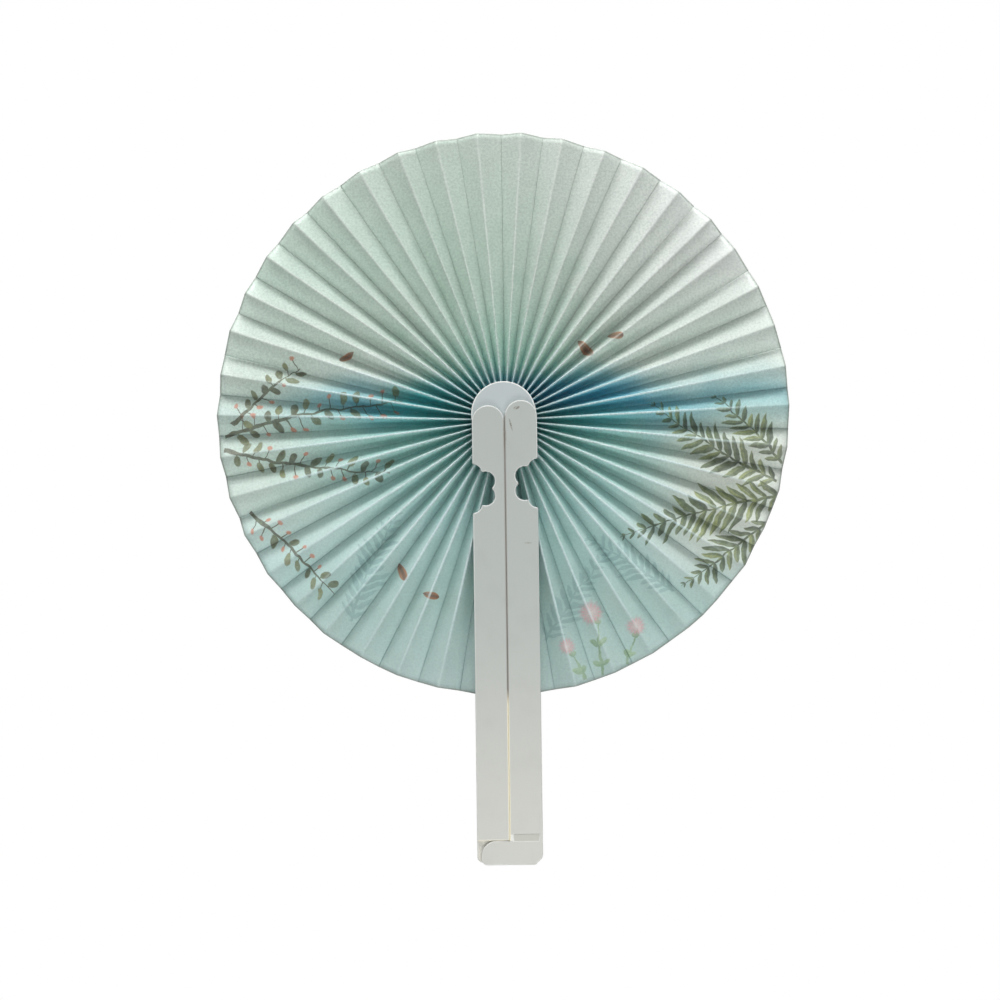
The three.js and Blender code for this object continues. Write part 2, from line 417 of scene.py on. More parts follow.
def foldLineGroup():
    inputs = numbers(["Fold", "Along"] + foldSizes)
    inputs.append(("Seed", "NodeSocketInt", 0))
    outputs = [("X", "NodeSocketFloat"), ("Z", "NodeSocketFloat")]
    group, given, made = newGroup("foldLine", "GeometryNodeTree", inputs, outputs)
    op = partial(calc, group)

    def chance(seedShift):  # -1 to 1, one value for each fold
        node = addNode(group, "FunctionNodeRandomValue", data_type="FLOAT")
        for socket in node.inputs:
            if socket.identifier == "Min_001":
                socket.default_value = -1.0
            if socket.identifier == "ID":
                feed(group, socket, given["Fold"])
            if socket.identifier == "Seed":
                feed(group, socket, op("ADD", given["Seed"], seedShift))
        return next(socket for socket in node.outputs if socket.identifier == "Value_001")

    share = op("SUBTRACT", op("DIVIDE", given["Fold"], given["Pleat Count"]), 1.0)
    loose = ease(group, op("SUBTRACT", 1.0, op("ABSOLUTE", share)), *leaf["evenEnds"])
    stray = op("MULTIPLY", op("MULTIPLY", chance(0.0), given["Stray"]), loose)

    def turnAt(radius):
        half = op("SUBTRACT", math.pi, op("ARCSINE", op("DIVIDE", given["Seam Offset"], radius)))
        return op("ADD", op("MULTIPLY", share, half), stray)

    rimTurn = turnAt(given["Rim Wide"])
    innerTurn = turnAt(given["Gather Radius"])
    isValley = op("SUBTRACT", 1.0, op("MODULO", given["Fold"], 2.0))
    drawnIn = op("MULTIPLY", isValley, given["Valley Draw"])
    short = op("ADD", drawnIn, op("MULTIPLY", chance(7.0), given["Ragged"]))
    wide = op("SUBTRACT", given["Rim Wide"], short)
    tall = op("SUBTRACT", given["Rim Tall"], short)
    rimX = op("MULTIPLY_ADD", wide, op("SINE", rimTurn), given["Rim X"])
    rimZ = op("MULTIPLY_ADD", tall, op("COSINE", rimTurn), given["Rim Z"])
    innerX = op("MULTIPLY", given["Gather Radius"], op("SINE", innerTurn))
    innerZ = op("MULTIPLY_ADD", given["Gather Radius"], op("COSINE", innerTurn), given["Gather Z"])
    feed(group, made["X"], between(group, innerX, rimX, given["Along"]))
    feed(group, made["Z"], between(group, innerZ, rimZ, given["Along"]))
    return group


def storeMap(tree, geometry, name, first, second):
    node = addNode(tree, "GeometryNodeStoreNamedAttribute", data_type="FLOAT2", domain="CORNER")
    feed(tree, node.inputs["Geometry"], geometry)
    node.inputs["Name"].default_value = name
    value = next(socket for socket in node.inputs if socket.name == "Value" and socket.enabled)
    feed(tree, value, combine(tree, first, second, 0.0))
    return node.outputs[0]


# One pleat: a grid with its ridge in the middle, laid between its three fold lines
def pleatTree():
    foldLine = foldLineGroup()
    inputs = numbers(foldSizes + ["Panel Width", "Rim Ease", "Crease Sharpness", "Flutter"])
    inputs += [(label, "NodeSocketInt", 1) for label in ("Pleat", "Across Steps", "Along Steps", "Seed")]
    inputs.append(("Material", "NodeSocketMaterial", None))
    outputs = [("Geometry", "NodeSocketGeometry")]
    tree, given, made = newGroup("pleat", "GeometryNodeTree", inputs, outputs)
    op = partial(calc, tree)
    grid = addNode(tree, "GeometryNodeMeshGrid")
    grid.inputs["Size X"].default_value = 2.0
    grid.inputs["Size Y"].default_value = 1.0
    feed(tree, grid.inputs["Vertices X"], op("ADD", given["Across Steps"], 1.0))
    feed(tree, grid.inputs["Vertices Y"], op("ADD", given["Along Steps"], 1.0))
    cell = separate(tree, addNode(tree, "GeometryNodeInputPosition").outputs[0])
    crowding = op("SINE", op("MULTIPLY", cell[0], 2 * math.pi))
    crowding = op("MULTIPLY", crowding, leaf["creaseCrowd"] / (2 * math.pi))
    side = op("SUBTRACT", cell[0], crowding)
    along = op("POWER", op("ADD", cell[1], 0.5), leaf["hubCrowd"])

    def fold(step):
        values = {keyFor(label): given[label] for label in foldSizes + ["Seed"]}
        number = op("ADD", op("MULTIPLY", given["Pleat"], 2.0), float(step))
        return useGroup(tree, foldLine, fold=number, along=along, **values)

    left, ridge, right = fold(0), fold(1), fold(2)
    rightShare = op("MAXIMUM", side, 0.0)
    leftShare = op("MAXIMUM", op("MULTIPLY", side, -1.0), 0.0)

    def lay(axis):
        toRight = op("MULTIPLY", rightShare, op("SUBTRACT", right[axis], ridge[axis]))
        toLeft = op("MULTIPLY", leftShare, op("SUBTRACT", left[axis], ridge[axis]))
        return op("ADD", ridge[axis], op("ADD", toRight, toLeft))

    x, z = lay("X"), lay("Z")
    spreadX = op("SUBTRACT", right["X"], left["X"])
    spreadZ = op("SUBTRACT", right["Z"], left["Z"])
    spread = op("ADD", op("MULTIPLY", spreadX, spreadX), op("MULTIPLY", spreadZ, spreadZ))
    eased = op("MULTIPLY_ADD", op("MULTIPLY", along, along), given["Rim Ease"], 1.0)
    panel = op("POWER", op("MULTIPLY", given["Panel Width"], eased), 2.0)
    depth = op("SUBTRACT", panel, op("DIVIDE", spread, 4.0))
    depth = op("SQRT", op("MAXIMUM", depth, leaf["leastDepth"] ** 2))
    crest = op("MULTIPLY", given["Crease Sharpness"], op("COSINE", op("MULTIPLY", side, math.pi)))
    wave = op("DIVIDE", op("ARCSINE", crest), op("ARCSINE", given["Crease Sharpness"]))
    sway = noise(tree, combine(tree, x, 0.0, z), leaf["flutterScale"], 1.0)
    sway = op("MULTIPLY", op("MULTIPLY", op("SUBTRACT", sway, 0.5), 2.0), given["Flutter"])
    sway = op("MULTIPLY", sway, ease(tree, along, *leaf["flutterFrom"]))
    y = op("SUBTRACT", sway, op("MULTIPLY", op("MULTIPLY", depth, 0.5), wave))

    sheet = storeMap(tree, grid.outputs["Mesh"], "foldPlace", side, along)
    sheet = storeMap(tree, sheet, "sheetPlace", x, op("SUBTRACT", z, given["Rim Z"]))
    shape = addNode(tree, "GeometryNodeSetPosition")
    feed(tree, shape.inputs["Geometry"], sheet)
    feed(tree, shape.inputs["Position"], combine(tree, x, y, z))
    closeTree(tree, shape.outputs[0], given["Material"], made["Geometry"])
    return tree


# Printed wash and sprigs, drawn in millimetres from the middle of the leaf
wash = {
    "top": srgb(198, 211, 200),
    "crown": srgb(204, 223, 210),
    "upper": srgb(227, 240, 230),
    "mist": srgb(172, 216, 209),
    "band": srgb(104, 180, 200),
    "upperRight": srgb(222, 228, 222),
    "deepLeft": srgb(64, 184, 184),
    "deepRight": srgb(66, 166, 194),
    "lower": srgb(195, 227, 224),
    "shallow": srgb(182, 208, 202),
    "foot": srgb(185, 206, 202),
    # hub, hubLow: painted light near the hub, paler and greener
    "hub": srgb(172, 230, 212),
    "hubLow": srgb(210, 247, 240),
    # fold: painted shade in the folds near the hub, tinted as light bounced between the panels
    "fold": (0.58, 0.98, 0.97, 1.0),
    "cloud": srgb(150, 194, 172),
    "paleSide": srgb(206, 223, 211),
    "cream": srgb(222, 225, 214),
    "wornCrease": srgb(216, 242, 243),
    "wornCrown": srgb(224, 229, 222),
    # valley: painted shade along the valley creases
    "valley": (0.6, 0.72, 0.74, 1.0),
    "edge": srgb(150, 158, 150),
    "patch": (0.93, 0.94, 0.94, 1.0),
    "speckle": (0.76, 0.78, 0.78, 1.0),
}
# Where the wash changes, in millimetres from the middle of the leaf: across, up and out
washAt = {
    "reach": 120.0,
    "drift": 34.0,  # how far its level wanders
    "bleachAcross": (-30.0, 90.0),
    "bleachUp": (15.0, 60.0),
    "cloudOut": (45.0, 90.0),
    "thinOut": (45.0, 108.0),
    "thinUp": (30.0, 70.0),
    "hubOut": (8.0, 62.0),
    "hubUp": (-14.0, 6.0),
    "hubLevel": 5.0,
    "hubBand": (4.0, 20.0),  # from that level
    "bandLevel": 4.0,
    "band": (3.0, 15.0),
    "bandOut": (26.0, 68.0),
    "ringOut": (14.5, 18.5),
    "blueAcross": (-20.0, 20.0),
    "blueUp": (-3.0, 6.0),
    "creamAcross": (40.0, 92.0),
    "creamUp": (-84.0, -48.0),
    "creamEnd": (-14.0, 3.0),
    "foldLevel": 2.0,
    "foldBand": (8.0, 34.0),
    "crownUp": (6.0, 38.0),  # ridges are less worn above
    "grainUp": (-60.0, 10.0),  # speckle is fainter below
}
paper = {
    "seenAtHub": 1.6,  # mm, a panel's width as the front shows it
    "seenGain": 7.3,  # mm more at the rim
    "ridgeLine": (0.12, 0.72),  # mm
    "valleyLine": (0.1, 0.5),  # mm
    "inkSides": (0.3, 1.0),  # share of the way from ridge to valley
    "inkAlong": (0.08, 0.4),  # share of the way from hub to rim
    "wornAlong": (0.4, 1.0),
    "rimLine": (0.9925, 0.9975),
    "bump": 0.16 * mm,
    "bumpStrength": 0.6,
    "roughness": 0.38,
    "fibreRoughness": 0.2,
    "specular": 0.6,
    "glowReach": 0.8 * mm,  # how far light spreads inside
    "sheen": 0.12,
    "sheenRoughness": 0.4,
}
ink = {
    "fern": [(0.0, srgb(52, 66, 44)), (0.55, srgb(96, 110, 62)), (1.0, srgb(160, 168, 104))],
    "stem": [(0.0, srgb(84, 80, 64)), (0.35, srgb(112, 116, 82)), (1.0, srgb(164, 166, 118))],
    "berry": srgb(206, 140, 116),
    "head": [(0.0, srgb(238, 206, 204)), (0.6, srgb(228, 160, 168)), (1.0, srgb(206, 128, 146))],
    "clover": [(0.0, srgb(120, 150, 110)), (1.0, srgb(170, 194, 150))],
    "far": [(0.0, srgb(104, 140, 146)), (1.0, srgb(132, 166, 170))],
    "fallen": [(0.0, srgb(120, 70, 40)), (1.0, srgb(186, 112, 60))],
}
# Foot across and up, turn in degrees, length, bend, leaflets, reach, width, slant, seed
ferns = [
    (114, -30, 64, 62, 0.12, 15, 13, 1.7, 0.8, 1),
    (116, -36, 98, 70, -0.10, 16, 14, 1.8, 0.8, 2),
    (110, -46, 132, 46, 0.10, 12, 11, 1.6, 0.8, 3),
    (116, -22, 38, 40, -0.12, 11, 10, 1.5, 0.8, 4),
]
farFerns = [
    (-66, -86, -18, 50, 0.12, 13, 11, 1.5, 0.8, 5),
    (16, -96, -30, 46, 0.10, 12, 10, 1.4, 0.8, 6),
    (70, -76, 52, 44, -0.10, 12, 10, 1.4, 0.8, 7),
]
clovers = [
    (40, -110, 8, 26, 0.06, 3, 5, 1.6, 0.5, 8),
    (50, -106, -14, 16, 0.05, 2, 4, 1.5, 0.5, 9),
    (32, -112, 22, 15, -0.05, 2, 4, 1.5, 0.5, 10),
]
# Middle across and up, radius, seed
heads = [(35, -84, 5.6, 1), (54, -90, 4.6, 2), (25, -98, 4.0, 3)]
# Foot across and up, turn in degrees, length, bend, spacing, stalk, leaf, berry, seed
sprigs = [
    (-118, -8, -72, 76, 0.14, 5.4, 3.8, 1.6, 1.1, 11),
    (-118, -14, -104, 70, -0.10, 5.0, 3.6, 1.5, 1.1, 12),
    (-115, -4, -44, 38, 0.10, 4.4, 3.2, 1.4, 1.0, 13),
    (-108, -40, -128, 50, 0.12, 4.8, 3.4, 1.5, 1.0, 14),
]
# Middle across and up, turn in degrees, length, half width
fallenLeaves = [
    (34, 27, 40, 9, 2.0),
    (47, 32, 95, 7, 1.7),
    (-66, 25, -60, 7, 1.6),
    (-44, -66, 20, 8, 1.8),
    (-32, -76, 75, 7, 1.7),
]


def printGroup(name, labels, outputs):
    inputs = [("Place", "NodeSocketVector", None)] + numbers(labels)
    return newGroup(name, "ShaderNodeTree", inputs, [(label, "NodeSocketFloat") for label in outputs])


# Place seen from a point and turned, with the waver of a drawing hand
def turnedPlace(tree, place, x, z, turn, waver):
    moved = addNode(tree, "ShaderNodeVectorMath", operation="SUBTRACT")
    feed(tree, moved.inputs[0], place)
    feed(tree, moved.inputs[1], combine(tree, x, z, 0.0))
    shake = addNode(tree, "ShaderNodeTexNoise")
    feed(tree, shake.inputs["Vector"], place)
    shake.inputs["Scale"].default_value = 0.14  # slow, a wave in about 7 mm
    shaken = addNode(tree, "ShaderNodeVectorMath", operation="MULTIPLY_ADD")
    feed(tree, shaken.inputs[0], shake.outputs["Color"])
    shaken.inputs[1].default_value = (2 * waver, 2 * waver, 0.0)
    feed(tree, shaken.inputs[2], moved.outputs[0])
    centred = addNode(tree, "ShaderNodeVectorMath", operation="SUBTRACT")
    feed(tree, centred.inputs[0], shaken.outputs[0])
    centred.inputs[1].default_value = (waver, waver, 0.0)
    turned = addNode(tree, "ShaderNodeVectorRotate", rotation_type="Z_AXIS")
    feed(tree, turned.inputs["Vector"], centred.outputs[0])
    feed(tree, turned.inputs["Angle"], calc(tree, "MULTIPLY", turn, -math.pi / 180))
    across, up, _ = separate(tree, turned.outputs[0])
    return across, up


def stemPlace(tree, given):  # distance from the bent stem, way along it and its share
    across, up = turnedPlace(tree, given["Place"], given["Foot X"], given["Foot Z"], given["Turn"], 1.6)
    share = calc(tree, "DIVIDE", up, given["Length"])
    bow = calc(tree, "MULTIPLY", calc(tree, "MULTIPLY", share, share), given["Length"])
    across = calc(tree, "SUBTRACT", across, calc(tree, "MULTIPLY", bow, given["Bend"]))
    return across, up, share


def stemMask(tree, fromStem, share, thick, thin):
    half = calc(tree, "ADD", calc(tree, "MULTIPLY", calc(tree, "SUBTRACT", 1.0, share), thick), thin)
    line = ease(tree, calc(tree, "SUBTRACT", half, fromStem), -0.12, 0.14)
    return calc(tree, "MULTIPLY", line, within(tree, share, 0.0, 1.0))


def cellChance(tree, cell, side, seed):
    node = addNode(tree, "ShaderNodeTexWhiteNoise", noise_dimensions="3D")
    feed(tree, node.inputs["Vector"], combine(tree, cell, side, seed))
    return node.outputs["Value"], separate(tree, node.outputs["Color"])[1]


def bladeHalf(tree, share, width):  # half width of a leaf along its length
    inside = calc(tree, "MINIMUM", calc(tree, "MAXIMUM", share, 0.0), 1.0)
    rise = calc(tree, "SQRT", inside)
    fall = calc(tree, "POWER", calc(tree, "SUBTRACT", 1.0, inside), 0.75)
    return calc(tree, "MULTIPLY", calc(tree, "MULTIPLY", rise, fall), calc(tree, "MULTIPLY", width, 2.3))


def frondGroup():
    labels = ["Foot X", "Foot Z", "Turn", "Length", "Bend", "Leaflets", "Reach", "Width", "Slant", "Seed"]
    group, given, made = printGroup("frond", labels, ["Mask", "Tone"])
    op = partial(calc, group)
    across, up, share = stemPlace(group, given)
    fromStem = op("ABSOLUTE", across)
    spacing = op("DIVIDE", given["Length"], given["Leaflets"])
    cell = op("DIVIDE", op("SUBTRACT", up, op("MULTIPLY", fromStem, given["Slant"])), spacing)
    index = op("FLOOR", cell)
    root = op("DIVIDE", op("ADD", index, 0.5), given["Leaflets"])
    chance, tint = cellChance(group, index, op("SIGN", across), given["Seed"])
    taper = op("POWER", op("MAXIMUM", op("SUBTRACT", 1.0, root), 0.0), 0.6)
    taper = op("MULTIPLY", taper, op("ADD", op("MULTIPLY", ease(group, root, 0.0, 0.35), 0.5), 0.5))
    uneven = op("ADD", op("MULTIPLY", chance, 0.5), 0.7)
    reach = op("MULTIPLY", op("MULTIPLY", given["Reach"], taper), uneven)
    blade = op("DIVIDE", fromStem, op("MAXIMUM", reach, 0.01))
    half = bladeHalf(group, blade, op("MULTIPLY", given["Width"], op("SQRT", taper)))
    fromRib = op("MULTIPLY", op("SUBTRACT", op("SUBTRACT", cell, index), 0.5), spacing)
    lean = op("SQRT", op("ADD", op("MULTIPLY", given["Slant"], given["Slant"]), 1.0))
    distance = op("DIVIDE", op("ABSOLUTE", fromRib), lean)
    leaflet = ease(group, op("SUBTRACT", half, distance), -0.05, 0.3)
    leaflet = allOf(group, leaflet, within(group, root, 0.0, 1.0), op("LESS_THAN", blade, 1.0))
    feed(group, made["Mask"], op("MAXIMUM", leaflet, stemMask(group, fromStem, share, 0.5, 0.15)))
    tone = op("ADD", op("MULTIPLY", tint, 0.6), op("MULTIPLY", op("SIGN", fromRib), 0.16))
    feed(group, made["Tone"], op("ADD", op("ADD", tone, 0.1), op("MULTIPLY", blade, 0.2)))
    return group


def sprigGroup():
    labels = ["Foot X", "Foot Z", "Turn", "Length", "Bend", "Spacing", "Stalk", "Leaf", "Berry", "Seed"]
    group, given, made = printGroup("sprig", labels, ["Mask", "Tone", "Fruit"])
    op = partial(calc, group)
    across, up, share = stemPlace(group, given)
    fromStem = op("ABSOLUTE", across)
    side = op("SIGN", across)
    cell = op("ADD", op("DIVIDE", up, given["Spacing"]), op("MULTIPLY", side, 0.25))
    index = op("FLOOR", cell)
    chance, second = cellChance(group, index, side, given["Seed"])
    step = op("MULTIPLY", op("SUBTRACT", op("SUBTRACT", cell, index), 0.5), given["Spacing"])
    root = op("DIVIDE", op("MULTIPLY", index, given["Spacing"]), given["Length"])
    grown = within(group, root, 0.02, 0.96)
    stalk = op("MULTIPLY", given["Stalk"], op("ADD", op("MULTIPLY", chance, 0.9), 0.5))
    rise = op("SUBTRACT", step, op("MULTIPLY", op("SUBTRACT", fromStem, stalk), 0.35))
    lineMask = ease(group, op("SUBTRACT", 0.24, op("ABSOLUTE", rise)), -0.1, 0.12)
    lineMask = allOf(group, lineMask, op("LESS_THAN", fromStem, stalk), grown)
    size = op("MULTIPLY", given["Leaf"], op("ADD", op("MULTIPLY", second, 0.5), 0.7))
    outX = op("DIVIDE", op("SUBTRACT", fromStem, stalk), 1.5)
    away = lengthOf(group, outX, rise)
    isLeaf = op("GREATER_THAN", second, 0.45)
    leafMask = allOf(group, ease(group, op("SUBTRACT", size, away), -0.1, 0.3), isLeaf, grown)
    fruitX = op("SUBTRACT", fromStem, op("ADD", stalk, 0.6))
    ball = lengthOf(group, fruitX, rise)
    fruit = ease(group, op("SUBTRACT", given["Berry"], ball), -0.15, 0.4)
    fruit = allOf(group, fruit, op("SUBTRACT", 1.0, isLeaf), grown)
    stem = stemMask(group, fromStem, share, 0.7, 0.2)
    feed(group, made["Mask"], op("MAXIMUM", op("MAXIMUM", stem, lineMask), leafMask))
    feed(group, made["Tone"], op("ADD", op("MULTIPLY", leafMask, op("MULTIPLY", chance, 0.6)), 0.12))
    feed(group, made["Fruit"], fruit)
    return group


def headGroup():
    group, given, made = printGroup("head", ["Middle X", "Middle Z", "Radius", "Seed"], ["Mask", "Tone"])
    op = partial(calc, group)
    across, up = turnedPlace(group, given["Place"], given["Middle X"], given["Middle Z"], 0.0, 1.2)
    away = lengthOf(group, across, up)
    angle = op("ARCTAN2", across, up)
    florets = op("SINE", op("ADD", op("MULTIPLY", angle, 13.0), given["Seed"]))
    rows = op("SINE", op("MULTIPLY", op("DIVIDE", away, given["Radius"]), 14.0))
    edge = op("MULTIPLY", given["Radius"], op("ADD", op("MULTIPLY", florets, 0.09), 0.9))
    mask = ease(group, op("SUBTRACT", edge, away), -0.4, 1.8)
    streak = op("ADD", op("MULTIPLY", op("MULTIPLY", florets, rows), 0.3), 0.65)
    feed(group, made["Mask"], op("MULTIPLY", mask, streak))
    feed(group, made["Tone"], op("DIVIDE", away, given["Radius"]))
    return group


def fallenGroup():
    labels = ["Middle X", "Middle Z", "Turn", "Length", "Width"]
    group, given, made = printGroup("fallenLeaf", labels, ["Mask", "Tone"])
    op = partial(calc, group)
    middle = (given["Middle X"], given["Middle Z"])
    across, up = turnedPlace(group, given["Place"], *middle, given["Turn"], 0.8)
    share = op("ADD", op("DIVIDE", up, given["Length"]), 0.5)
    fromRib = op("ABSOLUTE", across)
    half = bladeHalf(group, share, given["Width"])
    mask = ease(group, op("SUBTRACT", half, fromRib), -0.1, 0.35)
    feed(group, made["Mask"], op("MULTIPLY", mask, within(group, share, 0.0, 1.0)))
    feed(group, made["Tone"], ease(group, fromRib, 0.1, 1.4))
    return group


def printOver(tree, colour, mask, strength, stops, tone):
    drawn = ramp(tree, tone, stops) if isinstance(stops, list) else stops
    return mixColour(tree, calc(tree, "MULTIPLY", mask, strength), colour, drawn)


def printSprigs(tree, colour, place):
    frond, sprig, head, fallen = frondGroup(), sprigGroup(), headGroup(), fallenGroup()
    pool = noise(tree, place, 0.35, 3.0)
    pooled = calc(tree, "ADD", calc(tree, "MULTIPLY", pool, 0.5), 0.6)  # ink lies thinner in places
    mottle = calc(tree, "MULTIPLY_ADD", noise(tree, place, 0.9, 3.0, 0.7), 0.9, -0.45)

    def draw(group, row):  # a row follows the group's inputs after Place
        node = addNode(tree, "ShaderNodeGroup", node_tree=group)
        feed(tree, node.inputs["Place"], place)
        for socket, value in zip(node.inputs[1:], row):
            socket.default_value = float(value)
        return node.outputs

    def over(colour, drawn, strength, stops):
        tone = calc(tree, "ADD", drawn["Tone"], mottle)
        return printOver(tree, colour, drawn["Mask"], strength, stops, tone)

    for rows, stops, opacity in (
        (farFerns, ink["far"], 0.42),
        (clovers, ink["clover"], 0.8),
        (ferns, ink["fern"], 0.95),
    ):
        for row in rows:
            colour = over(colour, draw(frond, row), calc(tree, "MULTIPLY", pooled, opacity), stops)
    for row in sprigs:
        drawn = draw(sprig, row)
        colour = over(colour, drawn, pooled, ink["stem"])
        colour = printOver(tree, colour, drawn["Fruit"], 0.85, ink["berry"], None)
    for row in heads:
        drawn = draw(head, row)
        colour = printOver(tree, colour, drawn["Mask"], 0.85, ink["head"], drawn["Tone"])
    for row in fallenLeaves:
        colour = over(colour, draw(fallen, row), pooled, ink["fallen"])
    return colour


def washColour(tree, place, x, z):
    op = partial(calc, tree)
    drift = op("MULTIPLY", op("SUBTRACT", noise(tree, place, 0.022, 3.0), 0.5), washAt["drift"])
    level = op("ADD", op("ADD", z, drift), washAt["reach"])
    colour = ramp(tree, op("DIVIDE", level, 2 * washAt["reach"]), [
        (0.0, wash["foot"]),
        (0.17, wash["shallow"]),
        (0.31, wash["lower"]),
        (0.46, wash["mist"]),
        (0.525, wash["band"]),
        (0.585, wash["upper"]),
        (0.74, wash["crown"]),
        (1.0, wash["top"]),
    ])
    # paler towards the upper right: partly the wash's tone, partly painted sheen where the light falls
    paleAndSheen = op("MULTIPLY", ease(tree, x, *washAt["bleachAcross"]), ease(tree, z, *washAt["bleachUp"]))
    colour = mixColour(tree, paleAndSheen, colour, wash["upperRight"])
    radius = lengthOf(tree, x, z)
    clouded = ease(tree, noise(tree, place, 0.05, 4.0, 0.6), 0.48, 0.72)
    clouded = allOf(tree, clouded, fadeOut(tree, radius, *washAt["cloudOut"]), 0.3)
    colour = mixColour(tree, clouded, colour, wash["cloud"])
    thinned = op("MULTIPLY", ease(tree, radius, *washAt["thinOut"]), op("MULTIPLY_ADD", x, -0.0018, 0.66))
    thinned = op("MULTIPLY", thinned, fadeOut(tree, op("ABSOLUTE", z), *washAt["thinUp"]))
    colour = mixColour(tree, thinned, colour, wash["paleSide"])  # the band runs out towards the rim
    # painted light: a paler, greener tint near the hub, for light bouncing in the deep folds there
    offBand = ease(tree, fromLevel(tree, z, washAt["hubLevel"]), *washAt["hubBand"])
    offBand = op("MULTIPLY_ADD", offBand, 0.75, 0.25)
    nearHubLight = allOf(tree, fadeOut(tree, radius, *washAt["hubOut"]), offBand, 0.6)
    hubBounceLight = mixColour(tree, ease(tree, z, *washAt["hubUp"]), wash["hubLow"], wash["hub"])
    colour = mixColour(tree, nearHubLight, colour, hubBounceLight)
    inBand = fadeOut(tree, fromLevel(tree, z, washAt["bandLevel"]), *washAt["band"])
    inBand = op("MULTIPLY", inBand, fadeOut(tree, radius, *washAt["bandOut"]))
    # a deep ring round the disc: partly the print, partly painted shade round the disc
    inBand = op("MAXIMUM", inBand, fadeOut(tree, radius, *washAt["ringOut"]))
    blue = op("MULTIPLY", ease(tree, x, *washAt["blueAcross"]), ease(tree, z, *washAt["blueUp"]))
    deep = mixColour(tree, blue, wash["deepLeft"], wash["deepRight"])
    colour = mixColour(tree, op("MULTIPLY", inBand, 0.8), colour, deep)
    faded = op("MULTIPLY", ease(tree, x, *washAt["creamAcross"]), ease(tree, z, *washAt["creamUp"]))
    faded = allOf(tree, faded, fadeOut(tree, z, *washAt["creamEnd"]), 0.75)
    return mixColour(tree, faded, colour, wash["cream"])


def foldColour(tree, colour, x, z):  # painted shade: folds near the hub darker and bluer, as light bounced between the panels; ridges wear pale; painted shade along the valley creases
    op = partial(calc, tree)
    side, along, _ = separate(tree, addNode(tree, "ShaderNodeUVMap", uv_map="foldPlace").outputs[0])
    fromRidge = op("ABSOLUTE", side)
    nearBand = fadeOut(tree, fromLevel(tree, z, washAt["foldLevel"]), *washAt["foldBand"])
    nearBand = op("MULTIPLY_ADD", nearBand, 0.95, 0.05)
    # painted shade: the deep folds near the hub lose red, as light bounced between the coloured panels
    foldShadeTint = ease(tree, fromRidge, *paper["inkSides"])
    foldShadeTint = allOf(tree, foldShadeTint, fadeOut(tree, along, *paper["inkAlong"]), nearBand)
    colour = mixColour(tree, foldShadeTint, colour, wash["fold"], "MULTIPLY")

    panelSeen = op("MULTIPLY_ADD", along, paper["seenGain"], paper["seenAtHub"])
    scuff = noise(tree, combine(tree, op("MULTIPLY", side, 3.0), op("MULTIPLY", along, 40.0), x), 1.0, 2.0)
    worn = fadeOut(tree, op("MULTIPLY", fromRidge, panelSeen), *paper["ridgeLine"])
    worn = op("MULTIPLY", worn, op("MULTIPLY_ADD", ease(tree, scuff, 0.3, 0.6), 0.3, 0.7))
    crown = ease(tree, z, *washAt["crownUp"])
    ridgeWear = op("MULTIPLY_ADD", crown, -0.72, 0.95)
    ridgeWear = op("MULTIPLY", fadeOut(tree, along, *paper["wornAlong"]), ridgeWear)
    ridgeWear = op("MAXIMUM", ridgeWear, op("MULTIPLY", crown, 0.2))
    wornColour = mixColour(tree, crown, wash["wornCrease"], wash["wornCrown"])
    colour = mixColour(tree, op("MULTIPLY", worn, ridgeWear), colour, wornColour)

    # painted shade: a dark line along each valley crease, weaker higher up
    fromValley = op("MULTIPLY", op("SUBTRACT", 1.0, fromRidge), panelSeen)
    valley = fadeOut(tree, fromValley, *paper["valleyLine"])
    valley = op("MULTIPLY", valley, op("MULTIPLY_ADD", crown, -0.4, 0.44))
    colour = mixColour(tree, valley, colour, wash["valley"], "MULTIPLY")
    cutRim = ease(tree, along, *paper["rimLine"])
    return mixColour(tree, op("MULTIPLY", cutRim, 0.8), colour, wash["edge"])


def leafMaterial():
    material, tree, surface = newMaterial("printedPaper", paper["specular"])
    op = partial(calc, tree)
    sheet = addNode(tree, "ShaderNodeUVMap", uv_map="sheetPlace").outputs[0]
    place = scaled(tree, sheet, (toMm, toMm, 0.0))
    x, z, _ = separate(tree, place)
    colour = printSprigs(tree, washColour(tree, place, x, z), place)
    patchy = ramp(tree, noise(tree, place, 0.11, 4.0), [(0.3, wash["patch"]), (0.7, white)])
    colour = mixColour(tree, 1.0, colour, patchy, "MULTIPLY")
    colour = foldColour(tree, colour, x, z)

    fibres = noise(tree, place, 1.0, 4.0, 0.75)
    speckle = ramp(tree, fibres, [(0.36, wash["speckle"]), (0.6, white)])
    grained = op("MULTIPLY_ADD", ease(tree, z, *washAt["grainUp"]), 0.45, 0.55)
    feed(tree, surface["Base Color"], mixColour(tree, grained, colour, speckle, "MULTIPLY"))
    feed(tree, surface["Normal"], bumpFrom(tree, fibres, paper["bump"], paper["bumpStrength"]))
    rough = op("ADD", op("MULTIPLY", fibres, paper["fibreRoughness"]), paper["roughness"])
    feed(tree, surface["Roughness"], rough)
    surface["Subsurface Weight"].default_value = 1.0  # light comes through the thin paper
    surface["Subsurface Radius"].default_value = (1.0, 1.0, 1.0)
    surface["Subsurface Scale"].default_value = paper["glowReach"]
    surface["Sheen Weight"].default_value = paper["sheen"]
    surface["Sheen Roughness"].default_value = paper["sheenRoughness"]
    return material


